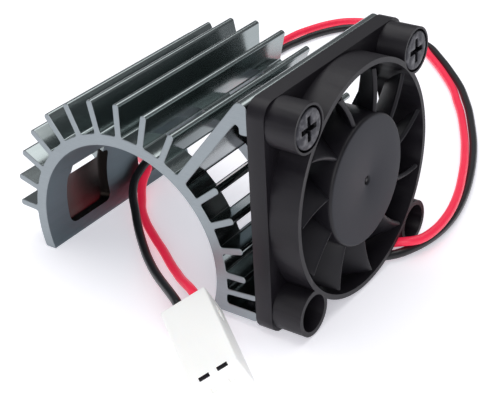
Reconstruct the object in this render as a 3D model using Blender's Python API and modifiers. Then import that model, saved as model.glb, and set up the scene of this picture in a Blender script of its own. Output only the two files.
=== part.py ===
"""Clamp-on heat sink for a small electric motor, with a cooling fan bolted to its side.

Frame: metres, +Z up, +Y along the extrusion away from the viewer, +X out of the fan's open face.
The origin is the bottom centre of the object without its cord.
"""
import bpy
import bmesh
import math
from mathutils import Matrix, Vector

MM = 0.001
GAP = 0.3

# heat sink, all in millimetres
RING_X = -5.3
RING_Z = 7.6
MOTOR_R = 18.0
WALL = 2.0
SINK_LENGTH = 39.0
FIN_STEP = 12.45
FIN_MIDDLE = 89.2
FIN_THICK = 1.15
LEG_DZ = -6.1
PLATE_DX = 25.5
WINDOW_FRONT = (-14.1, -3.3)
WINDOW_BACK = (3.3, 14.1)
WINDOW_RIGHT = (14.0, 76.0)
WINDOW_LEFT = (5.4, 14.1)
POCKET_LEFT = (159.0, 193.0)
POCKET_DEPTH = 1.1

# fan
FAN_FACE = 28.7
FAN_DEPTH = 8.2
FAN_SIZE = 40.0
FAN_Z = 20.0
FLANGE = 3.05
HOLE_PITCH = 32.0
DUCT_R = 18.85
DUCT_WALL = 0.85
BOSS_R = 4.0
HUB_R = 11.0
TIP_R = 18.2
BLADES = 11
SCREW_R = 1.1
HOLE_R = 1.4

# free cord and plug
LEAD_R = 0.8
PLUG_SIZE = (16.6, 7.9, 6.4)
PLUG_REAR = (14.5, -28.5, 6.72)
PLUG_YAW = -37.6
PLUG_PITCH = 7.1
PLUG_ROLL = -26.2
CONTACT_PITCH = 3.0


def collection(name, cutters=False):
    made = bpy.data.collections.new(name)
    bpy.context.scene.collection.children.link(made)
    made.hide_render = cutters
    return made


def material(name, colour, metallic, roughness):
    made = bpy.data.materials.new(name)
    made.use_nodes = True
    shader = made.node_tree.nodes["Principled BSDF"]
    shader.inputs["Base Color"].default_value = (colour[0], colour[1], colour[2], 1.0)
    shader.inputs["Metallic"].default_value = metallic
    shader.inputs["Roughness"].default_value = roughness
    return made


def link(obj, group, mat=None):
    group.objects.link(obj)
    if mat is not None:
        obj.data.materials.clear()
        obj.data.materials.append(mat)
    return obj


def outward(mesh):
    bm = bmesh.new()
    bm.from_mesh(mesh)
    bmesh.ops.remove_doubles(bm, verts=bm.verts, dist=0.000001)
    bmesh.ops.recalc_face_normals(bm, faces=bm.faces)
    bm.to_mesh(mesh)
    bm.free()


def plain(obj):
    """The object's finished shape as an ordinary mesh, with its transform applied."""
    bpy.context.view_layer.update()
    graph = bpy.context.evaluated_depsgraph_get()
    mesh = bpy.data.meshes.new_from_object(obj.evaluated_get(graph))
    mesh.transform(obj.matrix_world)
    outward(mesh)
    made = bpy.data.objects.new(obj.name, mesh)
    group = obj.users_collection[0]
    name = obj.name
    bpy.data.objects.remove(obj)
    made.name = name
    group.objects.link(made)
    return made


def plate(name, outlines, low, high, group, axis="Z"):
    """A flat outline, with holes, pulled from low to high along one axis."""
    curve = bpy.data.curves.new(name, "CURVE")
    curve.dimensions = "2D"
    curve.fill_mode = "BOTH"
    curve.extrude = 0.5 * (high - low) * MM
    for outline in outlines:
        spline = curve.splines.new("POLY")
        spline.points.add(len(outline) - 1)
        for point, (a, b) in zip(spline.points, outline):
            point.co = (a * MM, b * MM, 0.0, 1.0)
        spline.use_cyclic_u = True
    obj = bpy.data.objects.new(name, curve)
    group.objects.link(obj)
    middle = 0.5 * (low + high) * MM
    if axis == "Z":
        obj.matrix_world = Matrix.Translation((0.0, 0.0, middle))
    elif axis == "Y":
        turn = Matrix(((1, 0, 0, 0), (0, 0, -1, middle), (0, 1, 0, 0), (0, 0, 0, 1)))
        obj.matrix_world = turn
    else:
        turn = Matrix(((0, 0, 1, middle), (1, 0, 0, 0), (0, 1, 0, 0), (0, 0, 0, 1)))
        obj.matrix_world = turn
    return plain(obj)


def turned(name, profile, group, steps=40):
    """A profile of (radius, depth) points turned about the fan's axis.

    Depth is measured inward from the fan's open face.
    """
    mesh = bpy.data.meshes.new(name)
    points = [(r * MM, 0.0, -u * MM) for r, u in profile]
    on_axis = profile[0][0] == 0.0 and profile[-1][0] == 0.0
    edges = [(i, i + 1) for i in range(len(points) - 1)]
    if not on_axis:
        edges.append((len(points) - 1, 0))
    mesh.from_pydata(points, edges, [])
    obj = bpy.data.objects.new(name, mesh)
    group.objects.link(obj)
    screw = obj.modifiers.new("turn", "SCREW")
    screw.axis = "Z"
    screw.steps = steps
    screw.render_steps = steps
    screw.use_merge_vertices = True
    screw.merge_threshold = 0.00001
    obj.matrix_world = Matrix.Translation((FAN_FACE * MM, 0.0, FAN_Z * MM)) @ Matrix.Rotation(
        math.radians(90.0), 4, "Y")
    return plain(obj)


def shift(obj, dx, dy, dz):
    obj.data.transform(Matrix.Translation((dx * MM, dy * MM, dz * MM)))
    return obj


def block(name, low, high, group):
    bm = bmesh.new()
    bmesh.ops.create_cube(bm, size=1.0)
    for vert in bm.verts:
        for axis in range(3):
            side = high[axis] if vert.co[axis] > 0 else low[axis]
            vert.co[axis] = side * MM
    mesh = bpy.data.meshes.new(name)
    bm.to_mesh(mesh)
    bm.free()
    obj = bpy.data.objects.new(name, mesh)
    group.objects.link(obj)
    return obj


def boolean(obj, others, operation):
    """Cut or join the others one at a time, and keep the plain result."""
    for other in others:
        step = obj.modifiers.new("cut", "BOOLEAN")
        step.operation = operation
        step.solver = "EXACT"
        step.object = other
        obj = plain(obj)
        bpy.data.objects.remove(other)
    return obj


def circle(cx, cy, radius, count, start=0.0):
    turn = [math.radians(start + 360.0 * i / count) for i in range(count)]
    return [(cx + radius * math.cos(t), cy + radius * math.sin(t)) for t in turn]


def rounded_square(half, corner, steps=5):
    out = []
    for quarter in range(4):
        cx = (half - corner) * (1 if quarter in (0, 3) else -1)
        cy = (half - corner) * (1 if quarter in (0, 1) else -1)
        for i in range(steps + 1):
            t = math.radians(90.0 * quarter + 90.0 * i / steps)
            out.append((cx + corner * math.cos(t), cy + corner * math.sin(t)))
    return out


def polar(radius, degrees):
    t = math.radians(degrees)
    return (radius * math.cos(t), radius * math.sin(t))


# ---------------------------------------------------------------- heat sink

def rounded_end(x, y, direction, half):
    """Points round the end of a fin, from its lower side to its upper side."""
    base = math.degrees(math.atan2(direction[1], direction[0]))
    out = []
    for turn in (-90.0, -45.0, 0.0, 45.0, 90.0):
        px, py = polar(half, base + turn)
        out.append((x - direction[0] * half + px, y - direction[1] * half + py))
    return out


def fin_outline(angle, length, half, root=0.35):
    """One radial fin, walked from its lower side to its upper side, with a small root fillet."""
    outer = MOTOR_R + WALL
    along = polar(1.0, angle)
    side = (-along[1], along[0])
    foot = outer * math.cos(math.asin(half / outer))
    spread = math.degrees((half + root) / outer)
    out = [polar(outer, angle - spread)]
    out.append((along[0] * (foot + root) - side[0] * half, along[1] * (foot + root) - side[1] * half))
    out.extend(rounded_end(along[0] * length, along[1] * length, along, half))
    out.append((along[0] * (foot + root) + side[0] * half, along[1] * (foot + root) + side[1] * half))
    out.append(polar(outer, angle + spread))
    return out


def arm_outline(angle, half):
    """The long arm that ends in the hook plate holding the fan's upper screws."""
    outer = MOTOR_R + WALL
    along = polar(1.0, angle)
    side = (-along[1], along[0])
    spread = math.degrees((half + 0.5) / outer)
    out = [polar(outer, angle - spread)]
    out.append((along[0] * 20.6 - side[0] * half, along[1] * 20.6 - side[1] * half))
    # underside of the arm runs up to the slot behind the plate
    corner = (PLATE_DX - 1.5 - 0.35, 0.0)
    reach = (corner[0] + side[0] * half) / along[0]
    under = (along[0] * reach - side[0] * half, along[1] * reach - side[1] * half)
    out.append((under[0] - 1.1, under[1] - 1.1 * along[1] / along[0]))
    out.append((under[0] - 0.25, under[1] - 0.55))
    out.append((PLATE_DX - 1.5, under[1] - 0.9))
    out.append((PLATE_DX - 1.5, 26.8))
    out.append((PLATE_DX - 1.3, 26.5))
    out.append((PLATE_DX - 0.2, 26.5))
    out.append((PLATE_DX, 26.8))
    out.append((PLATE_DX, 30.7))
    out.append((PLATE_DX - 0.3, 31.15))
    out.append((PLATE_DX - 0.9, 31.25))
    top = (PLATE_DX - 1.6 + side[0] * 0.0, 0.0)
    reach = (top[0] - side[0] * half) / along[0]
    out.append((along[0] * reach + side[0] * half, along[1] * reach + side[1] * half))
    out.append((along[0] * 20.6 + side[0] * half, along[1] * 20.6 + side[1] * half))
    out.append(polar(outer, angle + spread))
    return out


def sink_outline():
    outer = MOTOR_R + WALL
    inner = MOTOR_R
    end_out = math.degrees(math.asin(LEG_DZ / outer))
    end_in = math.degrees(math.asin(LEG_DZ / inner))
    out = []
    # lower bar, which closes the right end of the ring and carries the lower screws
    out.append((inner * math.cos(math.radians(end_in)), -6.3))
    out.append((PLATE_DX - 0.2, -6.3))
    out.append((PLATE_DX, -6.1))
    out.append((PLATE_DX, -4.8))
    out.append((PLATE_DX - 0.2, -4.6))
    out.append((20.2, -4.6))
    out.append((19.85, -4.1))
    out.append((19.85, -3.3))
    out.append((20.2, -2.85))
    out.append((PLATE_DX - 0.2, -2.4))
    out.append((PLATE_DX, -2.2))
    out.append((PLATE_DX, -1.6))
    out.append((PLATE_DX - 0.2, -1.4))
    out.append((20.1, -1.85))
    previous = -4.0
    for k in range(15, 0, -1):
        angle = FIN_MIDDLE - FIN_STEP * (k - 8)
        half = 0.5 * FIN_THICK
        if k == 11:
            points = arm_outline(angle, 0.95)
        else:
            tip = 23.6 + 2.2 * math.sin(math.radians(angle))
            points = fin_outline(angle, tip, half)
        middle = angle - 0.5 * FIN_STEP
        if k < 15:
            out.append(polar(outer, middle))
        out.extend(points)
        previous = angle
    for angle in (previous + 4.5, previous + 8.0, previous + 12.0):
        if angle < 180.0 - end_out - 1.0:
            out.append(polar(outer, angle))
    out.append((-outer * math.cos(math.radians(end_out)), LEG_DZ))
    out.append((-inner * math.cos(math.radians(end_in)), LEG_DZ))
    steps = 36
    first = 180.0 - end_in
    for i in range(1, steps):
        out.append(polar(inner, first + (end_in - first) * i / steps))
    out.append((inner * math.cos(math.radians(end_in)), inner * math.sin(math.radians(end_in))))
    return [(a + RING_X, b + RING_Z) for a, b in out]


def window_cutter(name, angles, span, group, depth=WALL + 0.12):
    """A curved block with rounded corners that opens a window, or a pocket, in the wall."""
    outer = MOTOR_R + depth
    inner = MOTOR_R - 1.2
    corner = 1.5
    length = math.radians(angles[1] - angles[0]) * MOTOR_R
    places = [0.0, 0.25 * corner, 0.6 * corner, corner]
    middle = 9 if length > 15 else 5
    for i in range(1, middle):
        places.append(corner + (length - 2 * corner) * i / middle)
    places.extend([length - corner, length - 0.6 * corner, length - 0.25 * corner, length])
    bm = bmesh.new()
    rows = []
    for place in places:
        near = min(place, length - place)
        inset = 0.0
        if near < corner:
            inset = corner - math.sqrt(max(0.0, corner ** 2 - (corner - near) ** 2))
        inset = min(inset, corner - 0.001)
        angle = angles[0] + math.degrees(place / MOTOR_R)
        row = []
        for radius, y in ((inner, span[0] + inset), (outer, span[0] + inset),
                          (outer, span[1] - inset), (inner, span[1] - inset)):
            a, b = polar(radius, angle)
            row.append(bm.verts.new(((a + RING_X) * MM, y * MM, (b + RING_Z) * MM)))
        rows.append(row)
    for first, second in zip(rows[:-1], rows[1:]):
        for i in range(4):
            j = (i + 1) % 4
            bm.faces.new((first[i], first[j], second[j], second[i]))
    bm.faces.new(rows[0])
    bm.faces.new(rows[-1])
    bmesh.ops.recalc_face_normals(bm, faces=bm.faces)
    mesh = bpy.data.meshes.new(name)
    bm.to_mesh(mesh)
    bm.free()
    obj = bpy.data.objects.new(name, mesh)
    group.objects.link(obj)
    return obj


def slot_cutters(group):
    """The sloping slot above the pocket: a short cut through the wall, and a longer one past the fins."""
    made = []
    for low, high in (((-2.5, -13.4, -0.45), (3.3, -5.0, 0.45)), ((2.5, -13.0, -0.4), (9.5, 1.5, 0.4))):
        tool = block("slot", low, high, group)
        turn = Matrix.Rotation(math.radians(180.0 - 38.2), 4, "Y")
        tool.data.transform(Matrix.Translation((-22.6 * MM, 0.0, 14.0 * MM)) @ turn)
        made.append(tool)
    return made


def rod_x(name, y, z, radius, low, high, group, count=16):
    return plate(name, [circle(y, z, radius, count)], low, high, group, axis="X")


def screw_places():
    half = 0.5 * HOLE_PITCH
    return (("screw_top_front", -half, FAN_Z + half), ("screw_top_back", half, FAN_Z + half),
            ("screw_bottom_front", -half, FAN_Z - half), ("screw_bottom_back", half, FAN_Z - half))


def make_heat_sink(parts, cutters):
    half = 0.5 * SINK_LENGTH
    sink = plate("heat_sink", [sink_outline()], -half, half, parts, axis="Y")
    tools = []
    for span in (WINDOW_FRONT, WINDOW_BACK):
        tools.append(window_cutter("window_right", WINDOW_RIGHT, span, cutters))
    tools.append(window_cutter("window_left", POCKET_LEFT, WINDOW_LEFT, cutters))
    tools.append(window_cutter("pocket", POCKET_LEFT, WINDOW_FRONT, cutters, POCKET_DEPTH))
    tools.extend(slot_cutters(cutters))
    for name, y, z in screw_places():
        low = 17.5 if z > FAN_Z else 15.6
        tools.append(rod_x("clear_" + name, y, z, HOLE_R, low, 22.0, cutters))
    return boolean(sink, tools, "DIFFERENCE")


# ---------------------------------------------------------------- fan

def make_fan_frame(parts, cutters):
    back = FAN_FACE - FAN_DEPTH
    face = FAN_FACE
    outline = [(a, b + FAN_Z) for a, b in rounded_square(0.5 * FAN_SIZE, 2.6)]
    frame = plate("fan_frame", [outline], back, back + FLANGE, parts, axis="X")
    joins = [rod_x("duct", 0.0, FAN_Z, DUCT_R + DUCT_WALL, back + 1.0, face, cutters, count=48)]
    for name, y, z in screw_places():
        joins.append(rod_x("boss_" + name, y, z, BOSS_R - 0.08, back + 1.2, face, cutters, count=20))
    frame = boolean(frame, joins, "UNION")
    bore = rod_x("bore", 0.0, FAN_Z, DUCT_R, back - 1.0, face + 1.0, cutters, count=48)
    frame = boolean(frame, [bore], "DIFFERENCE")
    base = turned("base", [(2.9, 2.4), (3.3, 2.4), (3.3, 7.1), (HUB_R, 7.1), (HUB_R, 7.9), (2.9, 7.9)],
                  cutters, steps=28)
    for quarter in range(4):
        bar = block("strut", (back + 0.15, 10.2, FAN_Z - 0.9), (back + 1.25, 19.2, FAN_Z + 0.9), cutters)
        turn = Matrix.Rotation(math.radians(35.0 + 90.0 * quarter), 4, "X")
        centre = Matrix.Translation((0.0, 0.0, FAN_Z * MM))
        bar.data.transform(centre @ turn @ centre.inverted())
        base = boolean(base, [bar], "UNION")
    frame = boolean(frame, [base], "UNION")
    tools = []
    for name, y, z in screw_places():
        hole = rod_x("hole_" + name, y, z, HOLE_R, back - 1.0, face + 1.0, cutters)
        tools.append(hole)
        if z > FAN_Z:
            tools.append(rod_x("seat_" + name, y, z, 3.55, face - 1.5, face + 1.0, cutters, count=24))
        else:
            tools.append(rod_x("seat_" + name, y, z, 3.1, back + FLANGE, face + 1.0, cutters, count=24))
    return boolean(frame, tools, "DIFFERENCE")


def blade_mesh(cutters, number):
    """One twisted blade: a grid from root to tip, thickened both ways."""
    rows = 4
    columns = 4
    root = HUB_R - 0.42
    bm = bmesh.new()
    grid = []
    for i in range(rows):
        reach = i / (rows - 1)
        radius = root + (TIP_R - root) * reach
        line = []
        for j in range(columns):
            along = j / (columns - 1)
            depth = 0.25 + 5.0 * along
            angle = 3.5 + 7.5 * reach ** 1.3 - 17.5 * along + 2.0 * along * (1.0 - along)
            t = math.radians(angle)
            line.append(bm.verts.new((-depth * MM, radius * math.cos(t) * MM, radius * math.sin(t) * MM)))
        grid.append(line)
    for i in range(rows - 1):
        for j in range(columns - 1):
            bm.faces.new((grid[i][j], grid[i][j + 1], grid[i + 1][j + 1], grid[i + 1][j]))
    mesh = bpy.data.meshes.new("blade")
    bm.to_mesh(mesh)
    bm.free()
    obj = bpy.data.objects.new("blade", mesh)
    cutters.objects.link(obj)
    thick = obj.modifiers.new("thick", "SOLIDIFY")
    thick.thickness = 0.75 * MM
    thick.offset = 0.0
    turn = Matrix.Rotation(math.radians(4.5 + 360.0 * number / BLADES), 4, "X")
    obj.matrix_world = Matrix.Translation((FAN_FACE * MM, 0.0, FAN_Z * MM)) @ turn
    return plain(obj)


def make_impeller(parts, cutters):
    hub = turned("impeller", [
        (0.0, -0.1), (0.7, -0.1), (1.0, -0.3), (10.4, -0.3), (10.85, -0.1), (HUB_R, 0.3), (HUB_R, 6.6),
        (10.25, 6.6), (10.25, 0.9), (2.4, 0.9), (2.4, 2.0), (1.08, 2.0), (1.08, 0.6), (0.0, 0.6)],
        parts, steps=36)
    blades = [blade_mesh(cutters, number) for number in range(BLADES)]
    hub = boolean(hub, blades, "UNION")
    hub.data.transform(Matrix.Translation((-25.0 * MM, 0.0, -FAN_Z * MM)))
    hub.location = (25.0 * MM, 0.0, FAN_Z * MM)
    return hub


def ring(name, inner, outer, first, last, parts, steps=32):
    return turned(name, [(inner, first), (outer, first), (outer, last), (inner, last)], parts, steps)


def make_rotor_insides(parts):
    made = {}
    made["rotor_yoke"] = ring("rotor_yoke", 9.45, 9.95, 1.2, 6.4, parts, 40)
    made["magnet_ring"] = ring("magnet_ring", 7.9, 9.15, 1.9, 6.3, parts, 40)
    made["shaft"] = turned("shaft", [(0.0, 0.9), (0.8, 0.9), (1.0, 1.1), (1.0, 7.2), (0.8, 7.4), (0.0, 7.4)],
                           parts, 16)
    made["retaining_clip"] = ring("retaining_clip", 1.08, 1.9, 7.0, 7.3, parts, 16)
    return made


def make_bearings(parts):
    made = {}
    made["front_bearing"] = ring("front_bearing", 1.08, 2.6, 2.6, 4.0, parts, 24)
    made["bearing_spacer"] = ring("bearing_spacer", 1.9, 2.6, 4.3, 4.9, parts, 24)
    made["rear_bearing"] = ring("rear_bearing", 1.08, 2.6, 5.2, 6.6, parts, 24)
    return made


def make_stator(parts, cutters):
    """Four poles with a coil round each neck, and the small board that drives them."""
    made = {}
    outline = []
    for quarter in range(4):
        base = 90.0 * quarter
        for a, b in ((4.9, -1.0), (5.9, -1.0)):
            t = math.radians(base)
            outline.append((a * math.cos(t) - b * math.sin(t), a * math.sin(t) + b * math.cos(t)))
        for turn, radius in ((-36, 6.1), (-36, 7.4), (-24, 7.4), (-12, 7.4), (0, 7.4), (12, 7.4), (24, 7.4),
                             (36, 7.4), (36, 6.1)):
            outline.append(polar(radius, base + turn))
        for a, b in ((5.9, 1.0), (4.9, 1.0)):
            t = math.radians(base)
            outline.append((a * math.cos(t) - b * math.sin(t), a * math.sin(t) + b * math.cos(t)))
        for turn in (30.0, 45.0, 60.0):
            outline.append(polar(4.6, base + turn))
    outline = [(a, b + FAN_Z) for a, b in outline]
    made["stator_core"] = plate("stator_core", [outline, circle(0.0, FAN_Z, 3.6, 24)],
                                FAN_FACE - 4.9, FAN_FACE - 3.3, parts, axis="X")
    for quarter, word in enumerate(("back", "top", "front", "bottom")):
        coil = block("winding_" + word, (-5.9, 4.75, -1.75), (-2.3, 5.65, 1.75), parts)
        bore = block("bore", (-5.2, 4.0, -1.3), (-3.0, 6.4, 1.3), cutters)
        coil = boolean(coil, [bore], "DIFFERENCE")
        turn = Matrix.Rotation(math.radians(90.0 * quarter), 4, "X")
        coil.data.transform(Matrix.Translation((FAN_FACE * MM, 0.0, FAN_Z * MM)) @ turn)
        made["winding_" + word] = coil
    made["circuit_board"] = ring("circuit_board", 3.6, 7.4, 6.2, 6.7, parts, 32)
    chip = block("driver_chip", (-5.9, 3.1, 3.1), (-5.2, 4.7, 4.7), parts)
    made["driver_chip"] = shift(chip, FAN_FACE, 0.0, FAN_Z)
    made["back_label"] = turned("back_label", [(0.0, 8.02), (9.0, 8.02), (9.0, 8.17), (0.0, 8.17)], parts, 32)
    return made


def make_screws(parts, cutters):
    made = {}
    for name, y, z in screw_places():
        if z > FAN_Z:
            top = FAN_FACE
            tip = 17.9
            profile = [(0.0, 0.0), (3.1, 0.0), (3.25, 0.15), (3.25, 0.9), (2.9, 1.2), (SCREW_R, 1.2),
                       (SCREW_R, top - tip - 0.6), (0.35, top - tip), (0.0, top - tip)]
            width = (4.0, 0.9)
            depth = 0.8
        else:
            top = FAN_FACE - FAN_DEPTH + FLANGE + GAP + 1.6
            tip = 16.0
            profile = [(0.0, 0.0), (1.6, 0.0), (2.5, 0.45), (2.7, 0.9), (2.7, 1.6), (SCREW_R, 1.6),
                       (SCREW_R, top - tip - 0.6), (0.35, top - tip), (0.0, top - tip)]
            width = (3.0, 0.8)
            depth = 0.9
        screw = turned(name, profile, parts, 14)
        screw = shift(screw, top - FAN_FACE, y, z - FAN_Z)
        long, short = 0.5 * width[0], 0.5 * width[1]
        first = block("slot", (top - depth, y - long, z - short), (top + 0.5, y + long, z + short), cutters)
        second = block("slot", (top - depth, y - short, z - long), (top + 0.5, y + short, z + long), cutters)
        cross = boolean(first, [second], "UNION")
        made[name] = boolean(screw, [cross], "DIFFERENCE")
    return made


# ---------------------------------------------------------------- cord and plug

def plug_frame():
    place = Matrix.Translation([v * MM for v in PLUG_REAR])
    yaw = Matrix.Rotation(math.radians(PLUG_YAW), 4, "Z")
    pitch = Matrix.Rotation(math.radians(PLUG_PITCH), 4, "Y")
    roll = Matrix.Rotation(math.radians(-PLUG_ROLL), 4, "X")
    return place @ yaw @ pitch @ roll


def plug_point(along, side, up):
    point = plug_frame() @ Vector((along * MM, side * MM, up * MM))
    return tuple(v / MM for v in point)


def make_plug(parts, cutters):
    made = {}
    length, width, height = PLUG_SIZE
    shell = block("plug_housing", (0.0, -0.5 * width, -0.5 * height),
                  (length, 0.5 * width, 0.5 * height), parts)
    edge = shell.modifiers.new("edge", "BEVEL")
    edge.width = 0.35 * MM
    edge.segments = 2
    shell = plain(shell)
    tools = []
    for side in (-0.5 * CONTACT_PITCH, 0.5 * CONTACT_PITCH):
        tools.append(block("way", (-1.0, side - 1.15, -1.3), (length - 3.2, side + 1.15, 1.3), cutters))
        tools.append(block("mouth", (length - 4.0, side - 0.45, -0.45),
                           (length + 1.0, side + 0.45, 0.45), cutters))
        tools.append(block("slit", (length - 0.5, side - 0.85, 0.5 * height - 0.35),
                           (length + 1.0, side + 0.85, 0.5 * height + 1.0), cutters))
    for side in (-1.0, 1.0):
        edge_side = side * 0.5 * width
        tools.append(block("notch", (2.4, edge_side - 0.5, -0.7), (5.0, edge_side + 0.5, 0.9), cutters))
    shell = boolean(shell, tools, "DIFFERENCE")
    made["plug_housing"] = shell
    for word, side in (("black", -0.5 * CONTACT_PITCH), ("red", 0.5 * CONTACT_PITCH)):
        pin = block("contact_" + word, (4.3, side - 0.8, -0.8), (length - 3.5, side + 0.8, 0.8), parts)
        made["contact_" + word] = pin
    for obj in made.values():
        obj.data.transform(plug_frame())
    return made


def smooth_points(route, spacing):
    """A Catmull-Rom curve through the route, read at even steps."""
    points = [Vector(p) for p in route]
    points = [points[0] * 2 - points[1]] + points + [points[-1] * 2 - points[-2]]
    fine = []
    for i in range(1, len(points) - 2):
        a, b, c, d = points[i - 1:i + 3]
        for k in range(24):
            t = k / 24.0
            fine.append(0.5 * ((2 * b) + (c - a) * t + (2 * a - 5 * b + 4 * c - d) * t * t
                               + (3 * b - a - 3 * c + d) * t ** 3))
    fine.append(points[-2])
    walked = [0.0]
    for first, second in zip(fine[:-1], fine[1:]):
        walked.append(walked[-1] + (second - first).length)
    count = max(2, int(round(walked[-1] / spacing)))
    out = []
    place = 0
    for i in range(count + 1):
        target = walked[-1] * i / count
        while place < len(fine) - 2 and walked[place + 1] < target:
            place += 1
        part = (target - walked[place]) / (walked[place + 1] - walked[place])
        out.append(fine[place].lerp(fine[place + 1], min(1.0, max(0.0, part))))
    return out


def lead(name, route, parts):
    curve = bpy.data.curves.new(name, "CURVE")
    curve.dimensions = "3D"
    curve.bevel_depth = LEAD_R * MM
    curve.bevel_resolution = 2
    curve.use_fill_caps = True
    points = smooth_points(route, 3.7)
    spline = curve.splines.new("POLY")
    spline.points.add(len(points) - 1)
    for point, place in zip(spline.points, points):
        point.co = (place.x * MM, place.y * MM, place.z * MM, 1.0)
    obj = bpy.data.objects.new(name, curve)
    parts.objects.link(obj)
    return obj


def rest_height(x):
    """Height of the surface under the part, which leans on its left leg and the fan's inner edge."""
    inner_edge = FAN_FACE - FAN_DEPTH
    slope = (RING_Z + LEG_DZ) / (inner_edge - RING_X + 0.9 * (MOTOR_R + WALL))
    return slope * max(0.0, inner_edge - x)


def lead_routes():
    """Route points for both leads, with heights above the surface that the part rests on."""
    half = 0.5 * CONTACT_PITCH
    red = [(24.9, 9.6, 1.35), (26.2, 10.7, 1.55), (27.6, 11.2, 2.05), (29.2, 11.6, 2.5),
           (31.34, 13.86, 2.55), (32.01, 18.1, 2.55), (31.67, 22.99, 2.6), (30.64, 27.73, 2.56),
           (29.03, 32.81, 2.41), (27.09, 37.75, 2.13), (25.04, 42.66, 1.91), (22.68, 47.67, 1.56),
           (20.23, 52.53, 1.28), (17.13, 58.01, 1.01), (13.91, 63.34, 0.85), (11, 67.45, 0.85),
           (8.29, 71.37, 0.85), (5.8, 74.37, 0.85), (3.39, 76.95, 0.85), (0.87, 79.57, 0.85),
           (-2.25, 82.55, 0.85), (-5.33, 85.29, 0.95), (-8.26, 87.62, 1.9), (-11.57, 89.94, 2.6),
           (-14.39, 91.32, 2.6), (-17.24, 92.2, 1.75), (-20.37, 93.06, 0.95), (-23.71, 93.29, 0.85),
           (-26.73, 92.9, 0.85), (-30.38, 90.51, 0.85), (-33, 86.63, 0.85), (-34.68, 82.26, 0.85),
           (-35.82, 77.82, 0.85), (-36.3, 70, 0.85), (-36.2, 60, 0.85), (-35.8, 50, 0.85),
           (-35.2, 40, 0.85), (-34.2, 30, 0.85), (-32.6, 21, 0.9), (-30.6, 15.6, 1.15), (-28.3, 12, 1.9),
           (-26.1, 9.8, 2.8), (-24, 8.2, 3.7), (-22.22, 6.75, 3.54), (-21.7, 4.9, 2.8),
           (-21.2, 3.4, 1.5), (-19.04, 0.62, 0.85), (-16.8, -2.12, 0.85), (-13.18, -5.42, 1.1),
           (-10.11, -7.83, 1.5), (-6.86, -10.34, 2.1), (-3.53, -12.85, 2.8), (-0.81, -15.06, 3.4),
           (2.01, -17.38, 4.1), (4.67, -19.36, 4.7), (7.2, -21.34, 5.5)]
    black = [(27, 7.9, 0.87), (28.15, 9.1, 0.85), (29.45, 11.0, 0.85), (30.95, 15.2, 0.85),
             (31.66, 19.99, 0.85), (31.48, 25, 0.85), (30.63, 29.89, 0.85), (29.28, 34.95, 0.85),
             (27.67, 39.73, 0.85), (25.8, 44.52, 0.85), (23.67, 49.36, 0.85), (21.29, 54.16, 0.85),
             (18.22, 59.61, 0.85), (15.06, 64.88, 0.85), (12.08, 69.19, 0.85), (9.11, 73.25, 0.85),
             (6.26, 76.49, 0.85), (3.72, 79.15, 0.85), (1.06, 81.85, 0.85), (-2.26, 84.95, 0.85),
             (-5.63, 87.95, 0.85), (-8.55, 89.57, 0.85), (-11.09, 90.15, 0.85), (-13.77, 90.19, 0.85),
             (-16.71, 90.31, 0.85), (-20.4, 90.32, 0.85), (-23.85, 89.83, 0.85), (-26.24, 88.86, 0.85),
             (-28.32, 87.33, 0.85), (-30.67, 83.58, 0.85), (-32.28, 79.47, 0.85), (-33.22, 75.16, 0.85),
             (-33.87, 70.91, 0.85), (-34.2, 62, 0.85), (-34, 52, 0.85), (-33.5, 42, 0.85),
             (-32.6, 32, 0.85), (-31, 23.5, 0.9), (-29.3, 18, 1.7), (-27.6, 14.2, 3), (-25.8, 11.2, 4.6),
             (-24.1, 9.4, 5.6), (-22.3, 7.8, 5.4), (-22.06, 5.99, 5.17), (-22, 4.1, 4.35),
             (-21.87, 2.4, 3.35), (-20.46, -0.02, 2.6), (-18.95, -1.84, 2.1), (-16.63, -4.19, 1.98),
             (-14.06, -6.88, 1.7), (-11.15, -9.71, 1.5), (-6.95, -13.61, 2), (-3.62, -16.57, 2.7),
             (1.71, -20.88, 4)]
    routes = []
    for low, side in ((red, half), (black, -half)):
        route = [(x, y, z + rest_height(x)) for x, y, z in low]
        route.extend([plug_point(-3.5, side, 0.2), plug_point(0.0, side, 0.0), plug_point(4.0, side, 0.0)])
        routes.append(route)
    return routes


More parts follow.
